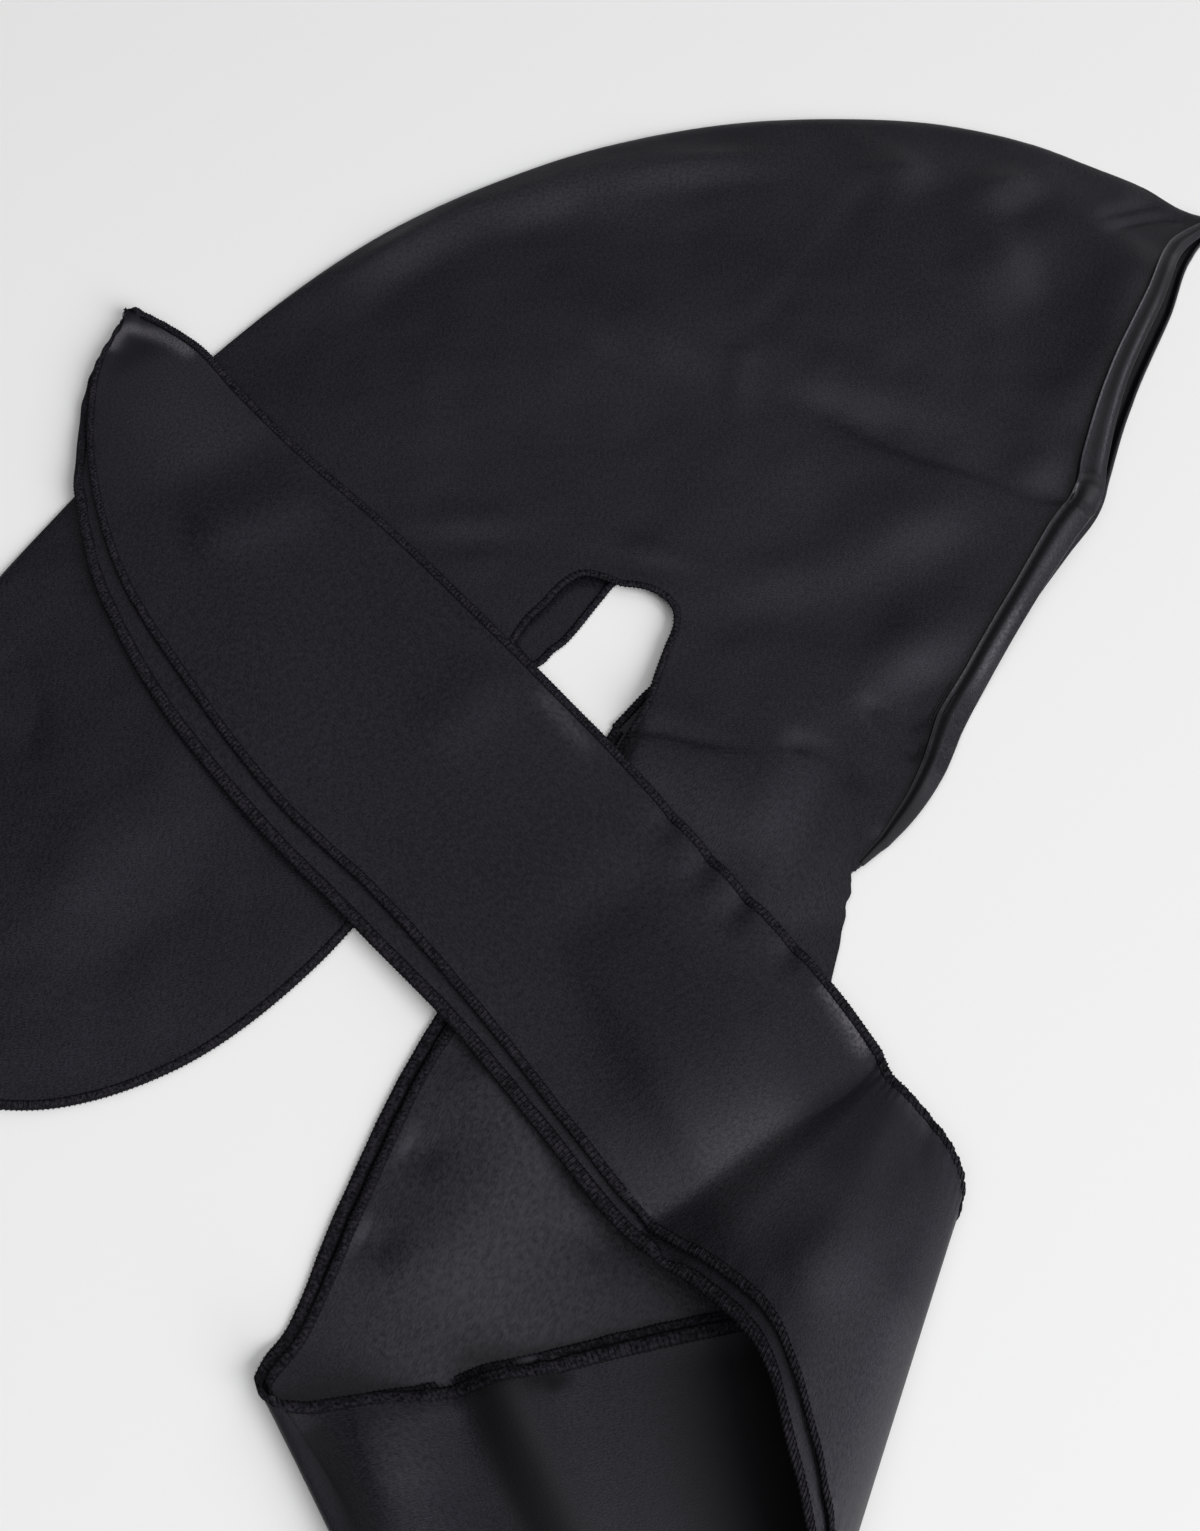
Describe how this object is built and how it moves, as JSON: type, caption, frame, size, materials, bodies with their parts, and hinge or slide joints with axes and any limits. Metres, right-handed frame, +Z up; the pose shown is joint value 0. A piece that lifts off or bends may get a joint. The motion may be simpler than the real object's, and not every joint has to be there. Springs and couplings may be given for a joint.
{
  "type": "tie-back sleep cap",
  "caption": "Satin sleep cap with long ties and a tail, folded in half at the crown seam and laid flat.",
  "frame": {"origin": "middle of the outline's box on the surface that the cap lies on", "axes": "+X towards the front hem, +Y towards the crown fold, +Z up from the surface"},
  "size_m": [0.4746, 0.579, 0.0295],
  "materials": {
    "satin": "black polyester satin with a soft sheen",
    "pressed_satin": "black satin, turned double and pressed, with a brighter sheen",
    "thread": "matte black overlock thread"
  },
  "bodies": {
    "root": {"lower_panel": "satin", "upper_panel": "satin", "lower_band": "pressed_satin", "upper_band": "pressed_satin", "lower_tie": "satin", "upper_tie": "satin"}
  },
  "joints": []
}
